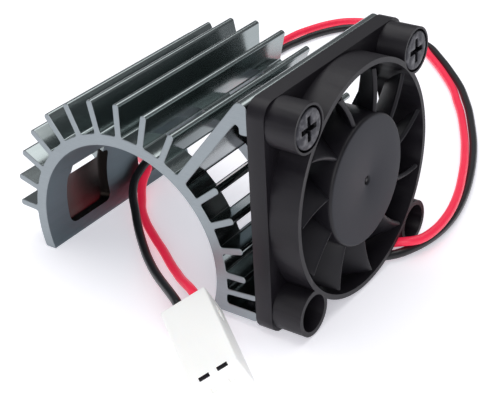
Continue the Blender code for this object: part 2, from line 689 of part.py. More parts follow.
def build():
    for obj in list(bpy.data.objects):
        bpy.data.objects.remove(obj)
    parts = collection("motor_cooler")
    cutters = collection("cutters", cutters=True)
    made = {}
    made["heat_sink"] = make_heat_sink(parts, cutters)
    made["fan_frame"] = make_fan_frame(parts, cutters)
    made["impeller"] = make_impeller(parts, cutters)
    made.update(make_rotor_insides(parts))
    made.update(make_bearings(parts))
    made.update(make_stator(parts, cutters))
    made.update(make_screws(parts, cutters))
    made.update(make_plug(parts, cutters))
    red, black = lead_routes()
    made["lead_red"] = lead("lead_red", red, parts)
    made["lead_black"] = lead("lead_black", black, parts)
    looks = {
        "heat_sink": ((0.22, 0.24, 0.24), 1.0, 0.3),
        "fan_frame": ((0.03, 0.028, 0.032), 0.0, 0.5),
        "impeller": ((0.035, 0.033, 0.038), 0.0, 0.5),
        "lead_red": ((0.7, 0.02, 0.05), 0.0, 0.45),
        "lead_black": ((0.02, 0.02, 0.022), 0.0, 0.45),
        "plug_housing": ((0.82, 0.81, 0.77), 0.0, 0.5),
        "circuit_board": ((0.03, 0.2, 0.08), 0.0, 0.5),
        "back_label": ((0.6, 0.6, 0.6), 0.0, 0.5),
        "driver_chip": ((0.02, 0.02, 0.02), 0.0, 0.5),
        "magnet_ring": ((0.06, 0.06, 0.06), 0.0, 0.7),
    }
    for name, obj in made.items():
        obj.name = name
        if name.startswith("winding"):
            look = ((0.6, 0.25, 0.12), 1.0, 0.35)
        elif name.startswith("contact"):
            look = ((0.75, 0.6, 0.3), 1.0, 0.3)
        elif name.startswith("screw"):
            look = ((0.12, 0.12, 0.13), 1.0, 0.35)
        else:
            look = looks.get(name, ((0.5, 0.5, 0.52), 1.0, 0.3))
        obj.data.materials.clear()
        obj.data.materials.append(material(name, look[0], look[1], look[2]))
    for obj in list(cutters.objects):
        obj.display_type = "WIRE"
        obj.hide_render = True


build()
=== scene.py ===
import math
import bpy
import bmesh
from mathutils import Matrix, Vector


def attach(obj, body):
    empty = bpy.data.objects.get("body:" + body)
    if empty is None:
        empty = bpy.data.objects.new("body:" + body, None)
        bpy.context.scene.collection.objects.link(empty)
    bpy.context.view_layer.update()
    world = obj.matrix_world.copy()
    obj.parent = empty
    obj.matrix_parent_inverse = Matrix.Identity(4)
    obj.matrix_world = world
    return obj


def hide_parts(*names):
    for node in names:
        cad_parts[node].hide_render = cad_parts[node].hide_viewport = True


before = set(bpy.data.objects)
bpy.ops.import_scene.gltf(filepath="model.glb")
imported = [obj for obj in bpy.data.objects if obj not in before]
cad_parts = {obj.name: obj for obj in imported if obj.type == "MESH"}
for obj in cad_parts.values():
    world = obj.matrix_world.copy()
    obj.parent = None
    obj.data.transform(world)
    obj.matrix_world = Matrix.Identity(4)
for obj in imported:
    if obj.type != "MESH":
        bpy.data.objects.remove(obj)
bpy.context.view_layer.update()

mm = 0.001
housing = "housing"
rotor = "rotor"
fanFace = 28.7  # open face of the fan, mm along X
fanBack = 20.5  # flange face against the heat sink
fanHeight = 20.0


def turnAbout(axis, degrees):
    return Matrix.Rotation(math.radians(degrees), 4, axis)


camera = {
    "lens": 95.0, "sensor": 36.0, "near": 0.01, "far": 10.0,
    "place": (0.12091, -0.15751, 0.12147), "turn": 36.142, "tilt": 60.191, "lean": -2.968,
}


def setCamera():
    data = bpy.data.cameras.new("camera")
    data.lens = camera["lens"]
    data.sensor_width = camera["sensor"]
    data.clip_start = camera["near"]
    data.clip_end = camera["far"]
    obj = bpy.data.objects.new("camera", data)
    bpy.context.scene.collection.objects.link(obj)
    aim = turnAbout("Z", camera["turn"]) @ turnAbout("X", camera["tilt"]) @ turnAbout("Z", camera["lean"])
    obj.matrix_world = Matrix.Translation(camera["place"]) @ aim
    bpy.context.scene.camera = obj


class Wire:  # one output socket, so that shader maths reads as sums and products
    def __init__(self, finish, socket):
        self.finish = finish
        self.socket = socket

    def combine(self, operation, other):
        return self.finish.node("Math", {"operation": operation}, {0: self, 1: other})

    def __add__(self, other):
        return self.combine("ADD", other)

    def __mul__(self, other):
        return self.combine("MULTIPLY", other)

    __radd__ = __add__
    __rmul__ = __mul__


class Finish:
    sockets = {"colour": "Base Color", "rough": "Roughness", "metal": "Metallic", "normal": "Normal",
               "specular": "Specular IOR Level", "glow": "Emission Strength", "glowColour": "Emission Color",
               "under": "Subsurface Weight", "underScale": "Subsurface Scale",
               "underReach": "Subsurface Radius"}

    def __init__(self, name):
        self.material = bpy.data.materials.new(name)
        self.material.use_nodes = True
        self.tree = self.material.node_tree
        self.shader = self.tree.nodes["Principled BSDF"]
        self.place = self.node("TexCoord", out="Object")

    def node(self, kind, settings=None, values=None, out=0):
        made = self.tree.nodes.new("ShaderNode" + kind)
        for key, value in (settings or {}).items():
            if key == "stops":
                while len(made.color_ramp.elements) < len(value):
                    made.color_ramp.elements.new(0.5)
                for element, (where, colour) in zip(made.color_ramp.elements, value):
                    element.position = where
                    element.color = (*colour, 1.0)
            else:
                setattr(made, key, value)
        for key, value in (values or {}).items():
            self.feed(made.inputs[key], value)
        return Wire(self, made.outputs[out])

    def feed(self, socket, value):
        if isinstance(value, Wire):
            self.tree.links.new(value.socket, socket)
        elif socket.type == "RGBA":
            socket.default_value = (*value, 1.0)
        else:
            socket.default_value = value

    def set(self, **values):
        for key, value in values.items():
            self.feed(self.shader.inputs[self.sockets[key]], value)
        return self.material

    def stretched(self, size, turn=(0.0, 0.0, 0.0)):
        return self.node("Mapping", None, {"Vector": self.place, "Scale": size, "Rotation": turn})

    def noise(self, scale, detail=3.0, rough=0.5, place=None):
        values = {"Vector": place or self.place, "Scale": scale, "Detail": detail, "Roughness": rough}
        return self.node("TexNoise", None, values)

    def blend(self, amount, first, second):
        # sockets 6 and 7 are the Mix node's two colours, and output 2 is the mixed colour
        return self.node("Mix", {"data_type": "RGBA"}, {"Factor": amount, 6: first, 7: second}, out=2)

    def steps(self, amount, low, high):
        black, white = (0.0, 0.0, 0.0), (1.0, 1.0, 1.0)
        return self.node("ValToRGB", {"stops": [(low, black), (high, white)]}, {"Fac": amount})

    def bump(self, height, strength, distance):
        return self.node("Bump", None, {"Height": height, "Strength": strength, "Distance": distance})


def anodised(name, dark, light, rough, grain):
    f = Finish(name)
    dieLines = f.stretched((1500.0, 14.0, 1500.0))  # they run along the extrusion
    streaks = f.noise(1.0, 2.0, 0.5, dieLines)
    clouds = f.noise(130.0, 3.0)
    specks = f.noise(5200.0, 2.0)
    tone = streaks * 0.5 + clouds * 0.5
    colour = f.blend(tone, dark, light)
    return f.set(colour=colour, metal=1.0, rough=rough + clouds * 0.10 + streaks * 0.06,
                 normal=f.bump(streaks * 0.8 + specks * 0.2, grain, 0.00005))


def sawnMetal():
    f = Finish("sawnEnds")
    saw = f.noise(1.0, 2.0, 0.6, f.stretched((300.0, 200.0, 5200.0), (0.0, 0.4, 0.0)))
    specks = f.noise(2600.0, 3.0)
    colour = f.blend(saw * 0.6 + specks * 0.4, (0.29, 0.325, 0.345), (0.40, 0.44, 0.46))
    return f.set(colour=colour, metal=1.0, rough=0.42 + specks * 0.2,
                 normal=f.bump(saw * 0.6 + specks * 0.4, 0.25, 0.00005))


def mouldedPlastic(name, dark, light, rough, grain=0.35):
    f = Finish(name)
    fine = f.noise(5200.0, 3.0, 0.6)
    coarse = f.noise(420.0, 4.0)
    colour = f.blend(coarse, dark, light)
    return f.set(colour=colour, specular=0.36, rough=rough + fine * 0.10 + coarse * 0.08,
                 normal=f.bump(fine * 0.7 + coarse * 0.3, grain, 0.00005))


def coatedSteel():
    f = Finish("blackenedSteel")
    grain = f.noise(3400.0, 3.0)
    wear = f.steps(f.noise(900.0, 4.0), 0.45, 0.75)
    colour = f.blend(wear, (0.045, 0.045, 0.052), (0.16, 0.16, 0.17))
    return f.set(colour=colour, metal=1.0, rough=0.30 + grain * 0.2, normal=f.bump(grain, 0.2, 0.00004))


def insulation(name, dark, light, rough, glow=0.0):
    f = Finish(name)
    soft = f.noise(260.0, 3.0)
    fine = f.noise(3000.0, 2.0)
    colour = f.blend(soft, dark, light)
    # painted light: a glow above zero makes the insulation emit its own colour, so it looks brighter than its
    # lighting makes it
    return f.set(colour=colour, glowColour=colour, glow=glow, rough=rough + fine * 0.10,
                 normal=f.bump(fine * 0.5 + soft * 0.5, 0.12, 0.00005))


def nylon():
    f = Finish("naturalNylonPaintedGlow")
    soft = f.noise(300.0, 3.0)
    fine = f.noise(2800.0, 3.0)
    colour = f.blend(soft, (0.94, 0.94, 0.92), (0.98, 0.98, 0.96))
    # painted light: the nylon glows in its own colour, so the plug looks brighter than its lighting makes it
    return f.set(colour=colour, glowColour=colour, glow=0.16, rough=0.40 + fine * 0.12, under=0.12,
                 underScale=0.002, underReach=(1.0, 0.8, 0.6), normal=f.bump(fine, 0.12, 0.00005))


def plainMetal(name, dark, light, rough):
    f = Finish(name)
    rings = f.noise(1.0, 2.0, 0.5, f.stretched((3000.0, 250.0, 250.0)))
    colour = f.blend(rings, dark, light)
    return f.set(colour=colour, metal=1.0, rough=rough + rings * 0.1, normal=f.bump(rings, 0.1, 0.00003))


def copperTurns():
    f = Finish("enamelledCopper")
    turns = f.node("TexWave", {"wave_type": "BANDS", "bands_direction": "X", "wave_profile": "SIN"},
                   {"Vector": f.place, "Scale": 620.0, "Distortion": 0.3})
    colour = f.blend(turns, (0.30, 0.10, 0.04), (0.72, 0.33, 0.16))
    return f.set(colour=colour, metal=1.0, rough=0.32, normal=f.bump(turns, 0.6, 0.0001))


def boardGreen():
    f = Finish("boardMask")
    tracks = f.node("TexVoronoi", {"feature": "F1", "distance": "MANHATTAN"},
                    {"Vector": f.place, "Scale": 700.0})
    copper = f.steps(tracks, 0.40, 0.46)
    colour = f.blend(copper, (0.015, 0.12, 0.05), (0.03, 0.22, 0.10))
    return f.set(colour=colour, rough=0.35, normal=f.bump(copper, 0.2, 0.00003))


def newObject(name, bm):
    mesh = bpy.data.meshes.new(name)
    bm.to_mesh(mesh)
    bm.free()
    for slot in range(4):  # empty slots, so that faces keep their finish numbers through the cuts
        mesh.materials.append(None)
    obj = bpy.data.objects.new(name, mesh)
    bpy.context.scene.collection.objects.link(obj)
    return obj


def freeze(obj):
    graph = bpy.context.evaluated_depsgraph_get()
    mesh = bpy.data.meshes.new_from_object(obj.evaluated_get(graph))
    mesh.transform(obj.matrix_world)
    old = obj.data
    obj.modifiers.clear()
    obj.data = mesh
    obj.matrix_world = Matrix.Identity(4)
    bpy.data.meshes.remove(old)
    return obj


def carve(obj, tools, operation="DIFFERENCE"):
    for tool in tools:
        step = obj.modifiers.new("carve", "BOOLEAN")
        step.operation = operation
        step.solver = "EXACT"
        step.material_mode = "INDEX"
        step.object = tool
    freeze(obj)
    for tool in tools:
        bpy.data.objects.remove(tool)
    return obj


def softenEdges(obj, width, angle=35.0):
    step = obj.modifiers.new("soften", "BEVEL")
    step.width = width * mm
    step.segments = 2
    step.limit_method = "ANGLE"
    step.angle_limit = math.radians(angle)
    step.use_clamp_overlap = True
    return freeze(obj)


def mend(bm):
    bmesh.ops.remove_doubles(bm, verts=bm.verts, dist=0.000002)
    bmesh.ops.recalc_face_normals(bm, faces=bm.faces)


def present(obj, body, finishes, node, angle=30.0):
    slots = obj.data.materials
    for number, finish in enumerate(finishes):
        slots[number] = finish
    while len(slots) > len(finishes):
        slots.pop(index=len(slots) - 1)
    obj.data.shade_smooth()
    obj.data.set_sharp_from_angle(angle=math.radians(angle))
    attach(obj, body)
    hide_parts(node)
    return obj


def flatShape(corners, place):
    # corners are (a, b, rounding), and place turns a and b into a point of the face's plane
    bm = bmesh.new()
    verts = [bm.verts.new(place(a, b)) for a, b, turn in corners]
    bm.faces.new(verts)
    wanted = {}
    for vert, (a, b, turn) in zip(verts, corners):
        if turn > 0.0:
            wanted.setdefault(turn, []).append(vert)
    for turn, chosen in wanted.items():
        bmesh.ops.bevel(bm, geom=chosen, offset=turn * mm, offset_type="OFFSET", segments=4, profile=0.5,
                        affect="VERTICES", material=-1)
    return bm


def pullOut(bm, move):
    made = bmesh.ops.extrude_face_region(bm, geom=bm.faces[:])
    verts = [g for g in made["geom"] if isinstance(g, bmesh.types.BMVert)]
    bmesh.ops.translate(bm, verts=verts, vec=move)
    bmesh.ops.recalc_face_normals(bm, faces=bm.faces)
    return bm


def rod(name, y, z, radius, low, high, segments=48):
    # it lies along X, from low to high
    bm = bmesh.new()
    made = bmesh.ops.create_cone(bm, cap_ends=True, segments=segments, radius1=radius * mm,
                                 radius2=radius * mm, depth=(high - low) * mm)
    middle = Vector((0.5 * (low + high), y, z)) * mm
    bmesh.ops.transform(bm, verts=made["verts"], matrix=Matrix.Translation(middle) @ turnAbout("Y", 90.0))
    return newObject(name, bm)


def brick(name, low, high, turn=None, edge=0.0):
    bm = bmesh.new()
    made = bmesh.ops.create_cube(bm, size=1.0)
    size = [(b - a) * mm for a, b in zip(low, high)]
    middle = [0.5 * (a + b) * mm for a, b in zip(low, high)]
    bmesh.ops.scale(bm, verts=made["verts"], vec=size)
    bmesh.ops.translate(bm, verts=made["verts"], vec=middle)
    if edge:
        bmesh.ops.bevel(bm, geom=bm.edges[:], offset=edge * mm, offset_type="OFFSET", segments=3,
                        profile=0.5, affect="EDGES", material=-1)
    if turn is not None:
        bmesh.ops.transform(bm, verts=bm.verts[:], matrix=turn)
    return newObject(name, bm)


def turnedShape(name, profile, segments=96, place=(fanFace, 0.0, fanHeight)):
    # profile is (radius, depth inward from the given place), spun about the X direction
    bm = bmesh.new()
    verts = [bm.verts.new((-u * mm, r * mm, 0.0)) for r, u in profile]
    edges = [bm.edges.new(pair) for pair in zip(verts[:-1], verts[1:])]
    if profile[0][0] > 0.0 or profile[-1][0] > 0.0:
        edges.append(bm.edges.new((verts[-1], verts[0])))
    bmesh.ops.spin(bm, geom=verts + edges, cent=(0.0, 0.0, 0.0), axis=(1.0, 0.0, 0.0), angle=math.tau,
                   steps=segments, use_merge=True, use_normal_flip=False, use_duplicate=False)
    bmesh.ops.translate(bm, verts=bm.verts[:], vec=Vector(place) * mm)
    mend(bm)
    return newObject(name, bm)


leads = {
    "diameter": 1.6, "spacing": 1.3,
    "red": [(24.9, 9.6, 1.35), (26.2, 10.7, 1.55), (27.6, 11.2, 2.05), (29.2, 11.6, 2.5),
            (31.34, 13.86, 2.55), (32.01, 18.1, 2.55), (31.67, 22.99, 2.6), (30.64, 27.73, 2.56),
            (29.03, 32.81, 2.41), (27.09, 37.75, 2.13), (25.04, 42.66, 1.91), (22.68, 47.67, 1.56),
            (20.23, 52.53, 1.29), (17.13, 58.01, 1.13), (13.91, 63.34, 1.08), (11, 67.45, 1.18),
            (8.29, 71.37, 1.27), (5.8, 74.37, 1.35), (3.39, 76.95, 1.44), (0.87, 79.57, 1.52),
            (-2.25, 82.55, 1.63), (-5.33, 85.29, 1.83), (-8.26, 87.62, 2.88), (-11.57, 89.94, 3.7),
            (-14.39, 91.32, 3.79), (-17.24, 92.2, 3.04), (-20.37, 93.06, 2.35), (-23.71, 93.29, 2.36),
            (-26.73, 92.9, 2.47), (-30.38, 90.51, 2.59), (-33, 86.63, 2.68), (-34.68, 82.26, 2.74),
            (-35.82, 77.82, 2.78), (-36.3, 70, 2.8), (-36.2, 60, 2.79), (-35.8, 50, 2.78),
            (-35.2, 40, 2.76), (-34.2, 30, 2.72), (-32.6, 21, 2.72), (-30.6, 15.6, 2.9),
            (-28.3, 12, 3.57), (-26.1, 9.8, 4.4), (-24, 8.2, 5.22), (-22.22, 6.75, 5),
            (-21.7, 4.9, 4.25), (-21.2, 3.4, 2.93), (-19.04, 0.62, 2.2), (-16.8, -2.12, 2.13),
            (-13.18, -5.42, 2.25), (-10.11, -7.83, 2.55), (-6.86, -10.34, 3.04), (-3.53, -12.85, 3.62),
            (-0.81, -15.06, 4.13), (2.01, -17.38, 4.73), (4.67, -19.36, 5.24), (7.2, -21.34, 5.96),
            (12.6, -25.45, 7.99), (15.39, -27.48, 7.38), (18.53, -29.91, 6.88)],
    "black": [(27, 7.9, 0.87), (28.15, 9.1, 0.85), (29.45, 11, 0.85), (30.95, 15.2, 0.85),
              (31.66, 19.99, 0.85), (31.48, 25, 0.85), (30.63, 29.89, 0.85), (29.28, 34.95, 0.85),
              (27.67, 39.73, 0.85), (25.8, 44.52, 0.85), (23.67, 49.36, 0.85), (21.29, 54.16, 0.85),
              (18.22, 59.61, 0.93), (15.06, 64.88, 1.04), (12.08, 69.19, 1.14), (9.11, 73.25, 1.24),
              (6.26, 76.49, 1.34), (3.72, 79.15, 1.42), (1.06, 81.85, 1.52), (-2.26, 84.95, 1.63),
              (-5.63, 87.95, 1.74), (-8.55, 89.57, 1.84), (-11.09, 90.15, 1.93), (-13.77, 90.19, 2.02),
              (-16.71, 90.31, 2.12), (-20.4, 90.32, 2.25), (-23.85, 89.83, 2.37), (-26.24, 88.86, 2.45),
              (-28.32, 87.33, 2.52), (-30.67, 83.58, 2.6), (-32.28, 79.47, 2.66), (-33.22, 75.16, 2.69),
              (-33.87, 70.91, 2.71), (-34.2, 62, 2.72), (-34, 52, 2.72), (-33.5, 42, 2.7),
              (-32.6, 32, 2.67), (-31, 23.5, 2.66), (-29.3, 18, 3.41), (-27.6, 14.2, 4.65),
              (-25.8, 11.2, 6.19), (-24.1, 9.4, 7.13), (-22.3, 7.8, 6.87), (-22.06, 5.99, 6.63),
              (-22, 4.1, 5.81), (-21.87, 2.4, 4.8), (-20.46, -0.02, 4), (-18.95, -1.84, 3.45),
              (-16.63, -4.19, 3.25), (-14.06, -6.88, 2.88), (-11.15, -9.71, 2.58),
              (-6.95, -13.61, 2.94), (-3.62, -16.57, 3.53), (1.71, -20.88, 4.64), (10.83, -27.48, 6.67),
              (13.61, -29.52, 6.06), (16.76, -31.94, 5.57)],
}


def smoothRoute(route, spacing):
    # a smooth line through the route's points, then even steps along it, as the CAD cords have them
    points = [Vector(p) for p in route]
    points = [points[0] * 2 - points[1]] + points + [points[-1] * 2 - points[-2]]
    cuts = 24
    fine = []
    for i in range(1, len(points) - 2):
        a, b, c, d = points[i - 1:i + 3]
        for k in range(cuts):
            t = k / cuts
            fine.append(0.5 * ((2 * b) + (c - a) * t + (2 * a - 5 * b + 4 * c - d) * t * t
                               + (3 * b - a - 3 * c + d) * t ** 3))
    fine.append(points[-2])
    walked = [0.0]
    for first, second in zip(fine[:-1], fine[1:]):
        walked.append(walked[-1] + (second - first).length)
    count = int(round(walked[-1] / spacing))
    out = []
    at = 0
    for i in range(count + 1):
        target = walked[-1] * i / count
        while at < len(fine) - 2 and walked[at + 1] < target:
            at += 1
        part = (target - walked[at]) / (walked[at + 1] - walked[at])
        out.append(fine[at].lerp(fine[at + 1], min(1.0, part)))
    return out, walked[-1]


def makeLead(name, word, finish):
    points, length = smoothRoute(leads[word], leads["spacing"])
    curve = bpy.data.curves.new(name, "CURVE")
    curve.dimensions = "3D"
    curve.bevel_depth = 0.5 * leads["diameter"] * mm
    curve.bevel_resolution = 6
    curve.use_fill_caps = True
    spline = curve.splines.new("POLY")
    spline.points.add(len(points) - 1)
    spline.use_smooth = True
    for point, place in zip(spline.points, points):
        point.co = (*(place * mm), 1.0)
    obj = bpy.data.objects.new(name, curve)
    bpy.context.scene.collection.objects.link(obj)
    curve.materials.append(finish)
    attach(obj, housing)
    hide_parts("lead_" + word)
    return obj, length


sink = {
    "axisX": -5.3, "axisZ": 7.6, "inner": 18.0, "wall": 2.0, "halfLength": 19.5,
    "fins": 15, "finStep": 12.45, "finMiddle": 89.2, "finThick": 1.15, "finReach": 23.6, "finRise": 2.2,
    "fillet": 1.5, "armFin": 11, "armThick": 1.9, "plateX": 25.5, "plateBack": 1.5, "plateLow": 26.5,
    "plateTop": 31.2, "foot": -6.1, "edge": 0.1, "boreSteps": 110, "outerStep": 1.7,
    "rootRound": 0.4, "tipRound": 0.52,
    "lowBlock": ((25.5, -6.3, 0.5), (25.5, -4.6, 0.5), (19.85, -4.6, 0.5), (19.85, -2.85, 0.5),
                 (25.5, -2.4, 0.4), (25.5, -1.4, 0.4), (20.1, -1.85, 0.3)),
    "windowSpans": ((-14.1, -3.3), (3.3, 14.1)), "windowArc": (14.0, 76.0), "windowCorner": 1.5, "slice": 0.7,
    "pocketArc": (159.0, 193.0), "pocketDepth": 1.1,
    "leftSpan": (5.4, 14.1), "slotAt": (-22.6, 0.0, 14.0), "slotTurn": 141.8,
    "slotCuts": (((-2.5, -13.4, -0.45), (3.3, -5.0, 0.45)), ((2.5, -13.0, -0.4), (9.5, 1.5, 0.4))),
    "tapHole": 1.35,
}


def polar(radius, degrees):
    t = math.radians(degrees)
    return radius * math.cos(t), radius * math.sin(t)


def finCorners(angle, length, half):
    outer = sink["inner"] + sink["wall"]
    ax, az = polar(1.0, angle)
    root = math.sqrt(outer * outer - half * half)
    low, tip = sink["rootRound"], sink["tipRound"]
    corners = ((root, -half, low), (length, -half, tip), (length, half, tip), (root, half, low))
    return [(ax * along - az * side, az * along + ax * side, turn) for along, side, turn in corners]


def armCorners(angle):
    # the one thick fin, which runs out to the plate that the fan's upper screws hold
    half = 0.5 * sink["armThick"]
    outer = sink["inner"] + sink["wall"]
    plate = sink["plateX"]
    ax, az = polar(1.0, angle)
    root = math.sqrt(outer * outer - half * half)
    back = plate - sink["plateBack"]
    reach = (back - 0.35 - az * half) / ax
    underX, underZ = ax * reach + az * half, az * reach - ax * half
    top = (plate - 1.6 + az * half) / ax
    return [(ax * root + az * half, az * root - ax * half, 0.5),
            (underX - 1.1, underZ - 1.1 * az / ax, 0.3), (underX - 0.25, underZ - 0.5, 0.25),
            (back, underZ - 0.9, 0.3), (back, sink["plateLow"], 0.3), (plate, sink["plateLow"], 0.3),
            (plate, sink["plateTop"], 0.5), (ax * top - az * half, az * top + ax * half, 0.9),
            (ax * root - az * half, az * root + ax * half, 0.5)]


def sinkCorners():
    # the extrusion's outline: the block behind the fan's lower edge, the fins, the left foot, the bore
    inner = sink["inner"]
    outer = inner + sink["wall"]
    foot = sink["foot"]
    fillet = sink["fillet"]
    endOut = math.degrees(math.asin(foot / outer))
    endIn = math.degrees(math.asin(foot / inner))
    out = [(inner * math.cos(math.radians(endIn)), sink["lowBlock"][0][1], 0.0), *sink["lowBlock"]]
    last = None
    for k in range(sink["fins"], 0, -1):
        angle = sink["finMiddle"] - sink["finStep"] * (k - 8)
        isArm = k == sink["armFin"]
        half = 0.5 * (sink["armThick"] if isArm else sink["finThick"])
        spread = math.degrees(math.asin(half / outer))
        if last is not None:
            first = last + fillet
            count = max(2, int((angle - spread - fillet - first) / sink["outerStep"]))
            for i in range(count + 1):
                out.append((*polar(outer, first + (angle - spread - fillet - first) * i / count), 0.0))
        reach = sink["finReach"] + sink["finRise"] * math.sin(math.radians(angle))
        out.extend(armCorners(angle) if isArm else finCorners(angle, reach, half))
        last = angle + spread
    first, stop = last + fillet, 180.0 - endOut
    for i in range(8):
        out.append((*polar(outer, first + (stop - first) * i / 8.0), 0.0))
    out.append((-outer * math.cos(math.radians(endOut)), foot, 0.15))
    out.append((-inner * math.cos(math.radians(endIn)), foot, 0.15))
    stop = 180.0 - endIn
    steps = sink["boreSteps"]
    for i in range(1, steps):
        out.append((*polar(inner, stop + (endIn - stop) * i / steps), 0.0))
    out.append((*polar(inner, endIn), 0.0))
    return out


def windowTool(arc, span, depth, finish=1):
    # a flat rounded plate, sliced across, then bent round the bore
    middle = sink["inner"] + 0.5 * sink["wall"]
    length = math.radians(arc[1] - arc[0]) * middle
    corner = sink["windowCorner"]
    inside = 1.4
    flat = [(a, b, corner) for a, b in ((0.0, span[0]), (length, span[0]), (length, span[1]), (0.0, span[1]))]
    bm = flatShape(flat, lambda a, b: Vector((a, b, sink["inner"] - inside)) * mm)
    pullOut(bm, (0.0, 0.0, (depth + inside) * mm))
    slices = int(length / sink["slice"])
    for i in range(1, slices):
        bmesh.ops.bisect_plane(bm, geom=bm.verts[:] + bm.edges[:] + bm.faces[:], dist=0.000001,
                               plane_co=(length * i / slices * mm, 0.0, 0.0), plane_no=(1.0, 0.0, 0.0))
    for vert in bm.verts:
        turn = math.radians(arc[0]) + vert.co.x / (middle * mm)
        radius = vert.co.z
        vert.co = (radius * math.cos(turn) + sink["axisX"] * mm, vert.co.y,
                   radius * math.sin(turn) + sink["axisZ"] * mm)
    if bm.calc_volume(signed=True) < 0.0:
        bmesh.ops.reverse_faces(bm, faces=bm.faces[:])
    for face in bm.faces:
        face.material_index = finish
    return newObject("windowTool", bm)


# y, z and whether the screw's head is at the top of its boss
screwPlaces = {"top_front": (-16.0, 36.0, True), "top_back": (16.0, 36.0, True),
               "bottom_front": (-16.0, 4.0, False), "bottom_back": (16.0, 4.0, False)}


def makeHeatSink(skin, cut, pocket, bore):
    half = sink["halfLength"]
    place = lambda a, b: Vector((a + sink["axisX"], -half, b + sink["axisZ"])) * mm
    bm = flatShape(sinkCorners(), place)
    pullOut(bm, (0.0, 2.0 * half * mm, 0.0))
    caps = [face for face in bm.faces if abs(face.normal.y) > 0.9]
    for face in bm.faces:
        middle = face.calc_center_median() / mm
        if math.hypot(middle.x - sink["axisX"], middle.z - sink["axisZ"]) < sink["inner"] + 0.02:
            face.material_index = 3  # the bore, which gets the darker finish as painted shade
    for face in caps:
        face.material_index = 1  # the sawn ends
    rims = {edge for face in caps for edge in face.edges}
    bmesh.ops.bevel(bm, geom=list(rims), offset=sink["edge"] * mm, offset_type="OFFSET", segments=1,
                    profile=0.5, affect="EDGES", material=1, clamp_overlap=True)
    obj = newObject("heatSinkExtrusion", bm)
    through = sink["wall"] + 0.1
    tools = [windowTool(sink["windowArc"], span, through) for span in sink["windowSpans"]]
    tools.append(windowTool(sink["pocketArc"], sink["leftSpan"], through))
    # painted shade: the pocket's floor and sides get the dark pocket finish
    tools.append(windowTool(sink["pocketArc"], sink["windowSpans"][0], sink["pocketDepth"], 2))
    slotPlace = Matrix.Translation(Vector(sink["slotAt"]) * mm) @ turnAbout("Y", sink["slotTurn"])
    tools.extend(brick("slotTool", low, high, slotPlace) for low, high in sink["slotCuts"])
    for y, z, upper in screwPlaces.values():
        tools.append(rod("tapHole", y, z, sink["tapHole"], 17.0 if upper else 15.4, 22.0, 24))
    carve(obj, tools)
    return present(obj, housing, (skin, cut, pocket, bore), "heat_sink", angle=28.0)


fan = {
    "size": 40.0, "corner": 2.6, "flange": 3.05, "duct": 18.85, "ductWall": 0.85, "boss": 3.92,
    "screwHole": 1.4, "upperSeat": 3.55, "upperSeatDepth": 1.5, "lowerSeat": 3.1, "edge": 0.16,
    "strutTurn": 35.0, "strut": ((0.15, 10.2, -0.9), (1.25, 19.2, 0.9)),
    "base": [(2.9, 2.4), (3.3, 2.4), (3.3, 7.1), (11.0, 7.1), (11.0, 7.9), (2.9, 7.9)],
}


def makeFanFrame(finish):
    half = 0.5 * fan["size"]
    corners = [(-half, -half, fan["corner"]), (half, -half, fan["corner"]), (half, half, fan["corner"]),
               (-half, half, fan["corner"])]
    bm = flatShape(corners, lambda a, b: Vector((fanBack, a, b + fanHeight)) * mm)
    pullOut(bm, (fan["flange"] * mm, 0.0, 0.0))
    obj = newObject("fanHousing", bm)
    outer = fan["duct"] + fan["ductWall"]
    joins = [rod("ductWall", 0.0, fanHeight, outer, fanBack + 1.0, fanFace, 128)]
    for y, z, upper in screwPlaces.values():
        joins.append(rod("boss", y, z, fan["boss"], fanBack + 1.2, fanFace, 48))
    carve(obj, joins, "UNION")
    carve(obj, [rod("bore", 0.0, fanHeight, fan["duct"], fanBack - 1.0, fanFace + 1.0, 128)])
    joins = [turnedShape("motorBase", fan["base"], 72)]
    (near, inner, left), (far, reach, right) = fan["strut"]
    for quarter in range(4):
        turn = turnAbout("X", fan["strutTurn"] + 90.0 * quarter)
        turn = Matrix.Translation((0.0, 0.0, fanHeight * mm)) @ turn
        joins.append(brick("strut", (fanBack + near, inner, left), (fanBack + far, reach, right), turn))
    carve(obj, joins, "UNION")
    tools = []
    for y, z, upper in screwPlaces.values():
        tools.append(rod("screwHole", y, z, fan["screwHole"], fanBack - 1.0, fanFace + 1.0, 32))
        if upper:
            tools.append(rod("seat", y, z, fan["upperSeat"], fanFace - fan["upperSeatDepth"], fanFace + 1.0))
        else:
            tools.append(rod("seat", y, z, fan["lowerSeat"], fanBack + fan["flange"], fanFace + 1.0))
    carve(obj, tools)
    softenEdges(obj, fan["edge"])
    return present(obj, housing, (finish,), "fan_frame")


impeller = {
    "hub": 11.0, "tip": 18.2, "blades": 11, "rootInHub": 0.42, "bladeThick": 0.75, "bladeEdge": 0.2,
    "bladeTurn": 4.5, "bladeStart": 0.25, "bladeDepth": 5.0,
    "rootTurn": 3.5, "sweep": 7.5, "twist": 17.5, "bow": 2.0,  # degrees
    "profile": [(0.0, -0.1), (0.3, -0.08), (0.4, 0.12), (0.62, 0.14), (0.8, -0.22), (0.95, -0.3),
                (10.35, -0.3), (10.62, -0.26), (10.86, -0.12), (10.97, 0.12), (11.0, 0.4), (11.0, 6.45),
                (10.9, 6.6), (10.35, 6.6), (10.25, 6.5), (10.25, 0.9), (2.4, 0.9), (2.4, 2.0), (1.08, 2.0),
                (1.08, 0.6), (0.0, 0.6)],
}


